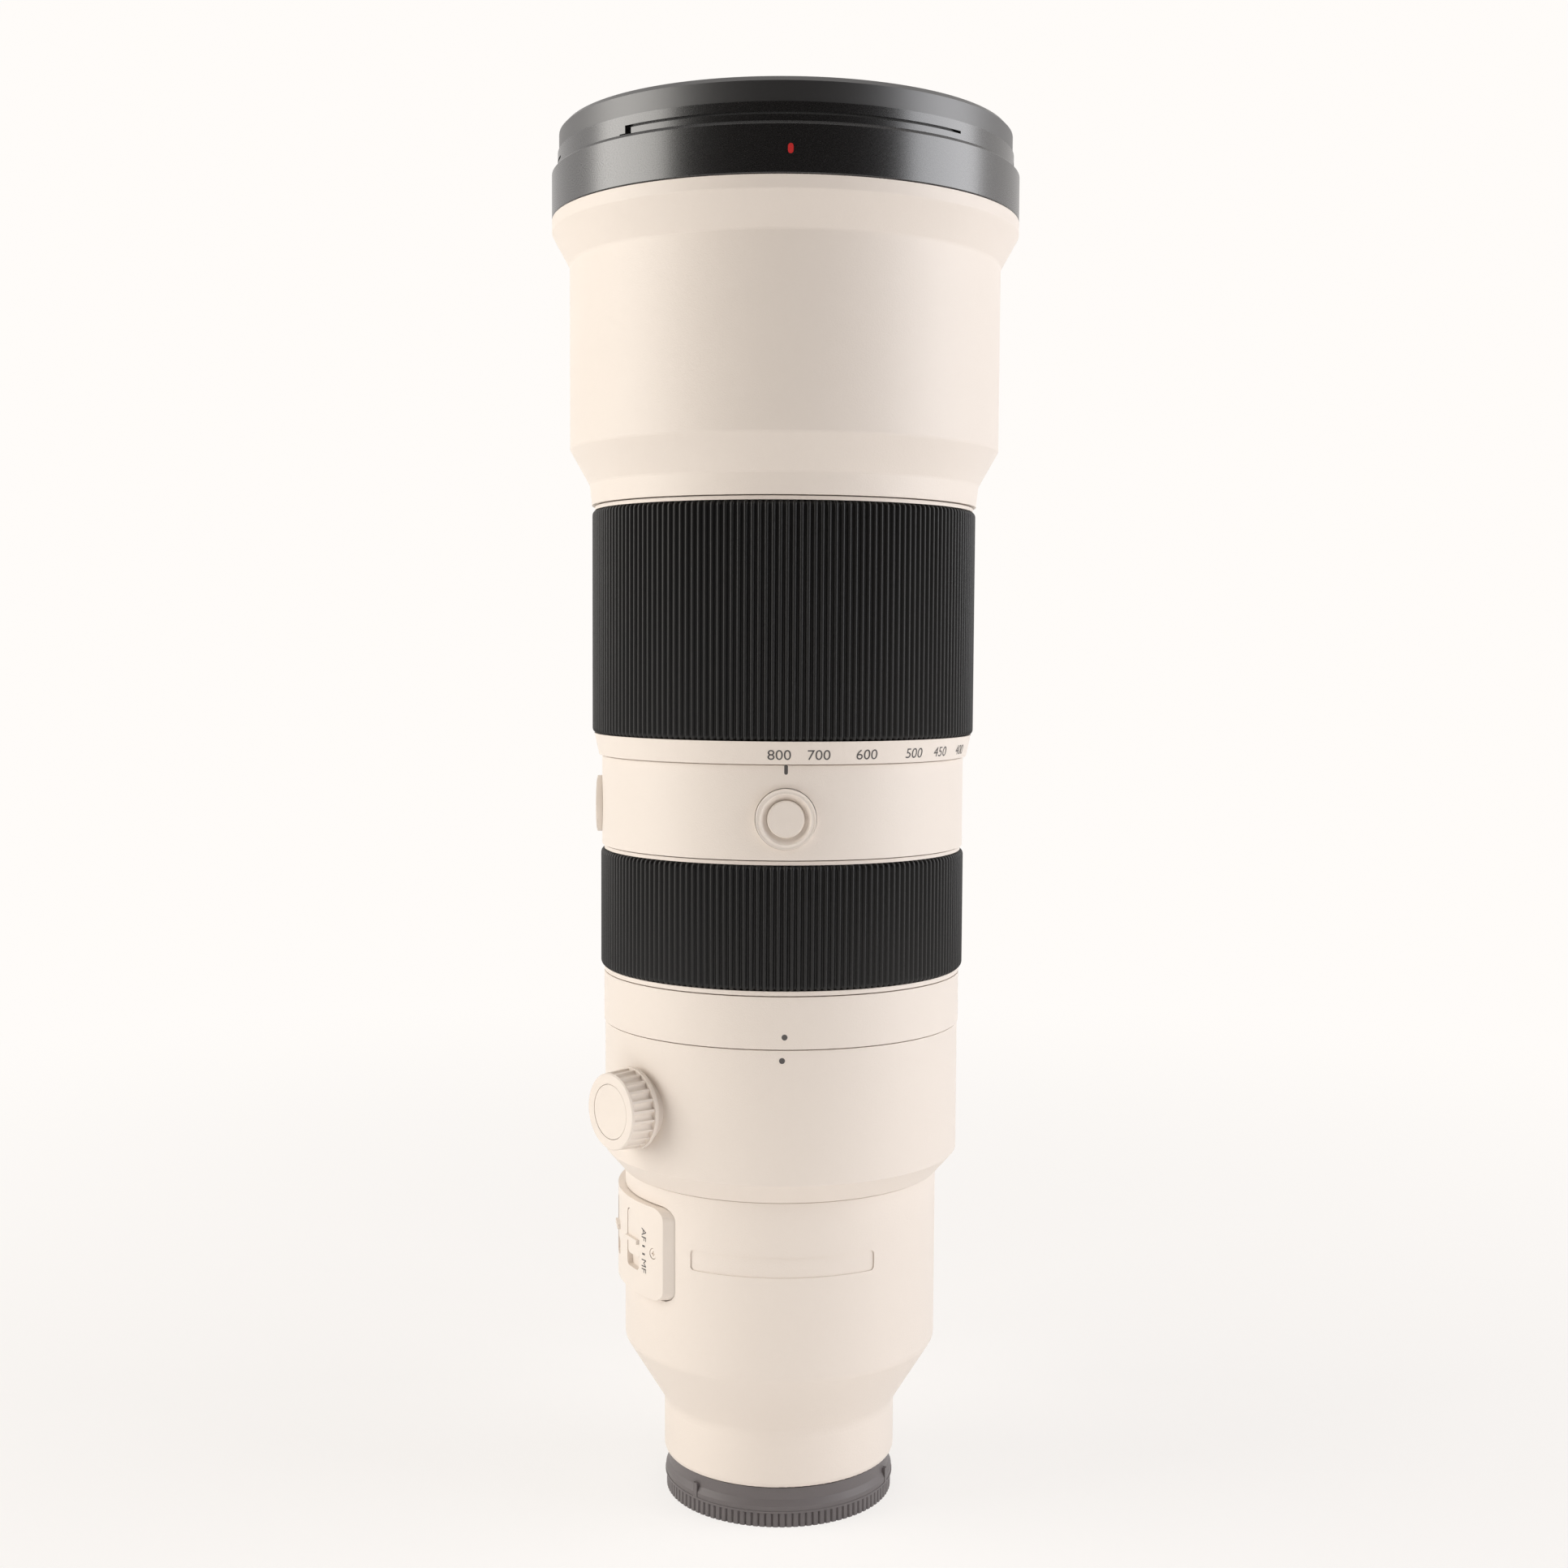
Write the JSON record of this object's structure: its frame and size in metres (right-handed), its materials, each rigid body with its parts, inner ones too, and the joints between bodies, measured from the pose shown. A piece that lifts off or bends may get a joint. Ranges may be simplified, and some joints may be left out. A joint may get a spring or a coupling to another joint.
{
  "type": "camera zoom lens",
  "caption": "White telephoto zoom lens with ribbed zoom and focus rings, tripod collar and foot, switch panel, hold buttons and a bayonet rear cap.",
  "frame": {"origin": "centre of the rear cap's flat base, on which the lens stands", "axes": "+Z along the optical axis towards the front glass; the index line faces -Y, the switch panel -X and the tripod foot +Y"},
  "size_m": [0.1198, 0.1519, 0.3545],
  "materials": {
    "white_shell": "matt white paint with a fine grain",
    "white_plastic": "matt white plastic",
    "grip_rubber": "matt black ribbed rubber",
    "black_metal": "satin black",
    "inner_metal": "black anodised",
    "cam_metal": "machined",
    "cap_plastic": "matt dark grey",
    "mount_metal": "fine turned",
    "screw_steel": "plated",
    "magnet_steel": "nickel plated",
    "contact_gold": "gold plated",
    "follower_brass": "turned",
    "coil_copper": "enamelled winding",
    "board_green": "solder mask",
    "lens_glass": "coated"
  },
  "bodies": {
    "barrel": {"front_ring": "black_metal", "filter_ring": "black_metal", "front_element": "lens_glass", "second_element": "lens_glass", "front_cell": "inner_metal", "front_barrel": "white_shell", "guide_tube": "inner_metal", "mid_barrel": "white_shell", "button_bezels": "white_plastic", "dot_band": "white_shell", "rear_barrel": "white_shell", "switch_panel": "white_plastic", "panel_screws": "white_plastic", "lens_mount": "mount_metal", "mount_screws": "screw_steel", "mount_gasket": "grip_rubber", "contact_block": "cap_plastic", "contact_pins": "contact_gold", "rear_baffle": "cap_plastic", "rear_cell": "inner_metal", "rear_element": "lens_glass", "circuit_board": "board_green", "iris_housing": "cap_plastic", "iris_blades": "screw_steel", "stabiliser_base": "inner_metal", "focus_rails": "screw_steel", "focus_magnets": "magnet_steel"},
    "zoom_ring": {"zoom_sleeve": "white_shell", "zoom_rubber": "grip_rubber", "cam_tube": "cam_metal", "zoom_key": "screw_steel"},
    "variator": {"variator_cell": "inner_metal", "variator_element": "lens_glass", "variator_followers": "follower_brass"},
    "compensator": {"compensator_cell": "inner_metal", "compensator_element": "lens_glass", "compensator_followers": "follower_brass"},
    "focus_ring": {"focus_sleeve": "white_shell", "focus_rubber": "grip_rubber"},
    "focus_group": {"focus_cell": "cap_plastic", "focus_element": "lens_glass", "focus_coils": "coil_copper"},
    "shift_frame": {"shift_frame": "cap_plastic"},
    "lens_carrier": {"lens_carrier": "cap_plastic", "stabiliser_element": "lens_glass"},
    "hold_button_top": {"hold_button_top": "white_plastic"},
    "hold_button_left": {"hold_button_left": "white_plastic"},
    "hold_button_bottom": {"hold_button_bottom": "white_plastic"},
    "focus_mode_switch": {"focus_mode_switch": "white_plastic"},
    "full_time_switch": {"full_time_switch": "white_plastic"},
    "focus_range_switch": {"focus_range_switch": "white_plastic"},
    "stabiliser_switch": {"stabiliser_switch": "white_plastic"},
    "collar": {"collar_ring": "white_shell", "tripod_foot": "white_shell", "foot_screws": "screw_steel"},
    "lock_knob": {"knob_body": "white_plastic", "knob_cap": "white_plastic", "knob_screw": "screw_steel"},
    "cap": {"rear_cap": "cap_plastic"}
  },
  "joints": [
    {"name": "zoom_turn", "type": "hinge", "parent": "barrel", "child": "zoom_ring", "pos_m": [0, 0, 0.23], "axis": [0, 0, 1], "range_deg": [-69, 0]},
    {"name": "variator_slide", "type": "slide", "parent": "barrel", "child": "variator", "axis": [0, 0, 1], "range_m": [0, 0.034]},
    {"name": "compensator_slide", "type": "slide", "parent": "barrel", "child": "compensator", "axis": [0, 0, 1], "range_m": [-0.016, 0]},
    {"name": "focus_turn", "type": "hinge", "parent": "barrel", "child": "focus_ring", "pos_m": [0, 0, 0.156], "axis": [0, 0, 1], "continuous": true},
    {"name": "focus_slide", "type": "slide", "parent": "barrel", "child": "focus_group", "axis": [0, 0, 1], "range_m": [0, 0.02]},
    {"name": "shift_x", "type": "slide", "parent": "barrel", "child": "shift_frame", "axis": [1, 0, 0], "range_m": [-0.0008, 0.0008], "stiffness_N_per_m": 400},
    {"name": "shift_y", "type": "slide", "parent": "shift_frame", "child": "lens_carrier", "axis": [0, 1, 0], "range_m": [-0.0008, 0.0008], "stiffness_N_per_m": 400},
    {"name": "hold_button_top_press", "type": "slide", "parent": "barrel", "child": "hold_button_top", "axis": [0, 1, 0], "range_m": [0, 0.0006], "stiffness_N_per_m": 800, "springref_m": -0.0005},
    {"name": "hold_button_left_press", "type": "slide", "parent": "barrel", "child": "hold_button_left", "axis": [1, 0, 0], "range_m": [0, 0.0006], "stiffness_N_per_m": 800, "springref_m": -0.0005},
    {"name": "hold_button_bottom_press", "type": "slide", "parent": "barrel", "child": "hold_button_bottom", "axis": [0, -1, 0], "range_m": [0, 0.0006], "stiffness_N_per_m": 800, "springref_m": -0.0005},
    {"name": "focus_mode_switch_slide", "type": "slide", "parent": "barrel", "child": "focus_mode_switch", "axis": [0, 0, 1], "range_m": [-0.003, 0]},
    {"name": "full_time_switch_slide", "type": "slide", "parent": "barrel", "child": "full_time_switch", "axis": [0, 0, 1], "range_m": [-0.003, 0]},
    {"name": "focus_range_switch_slide", "type": "slide", "parent": "barrel", "child": "focus_range_switch", "axis": [0, 0, 1], "range_m": [-0.003, 0]},
    {"name": "stabiliser_switch_slide", "type": "slide", "parent": "barrel", "child": "stabiliser_switch", "axis": [0, 0, 1], "range_m": [-0.003, 0]},
    {"name": "collar_turn", "type": "hinge", "parent": "barrel", "child": "collar", "pos_m": [0, 0, 0.107], "axis": [0, 0, 1], "continuous": true},
    {"name": "knob_turn", "type": "hinge", "parent": "collar", "child": "lock_knob", "pos_m": [-0.0373, -0.03021, 0.1084], "axis": [-0.7771, -0.6293, 0], "range_deg": [0, 270]},
    {"name": "cap_twist", "type": "hinge", "parent": "barrel", "child": "cap", "pos_m": [0, 0, 0.004], "axis": [0, 0, 1], "range_deg": [0, 60]}
  ],
  "couplings": [
    {"joint": "variator_slide", "follows": "zoom_turn", "m_per_rad": -0.02823},
    {"joint": "compensator_slide", "follows": "zoom_turn", "m_per_rad": 0.01328}
  ]
}
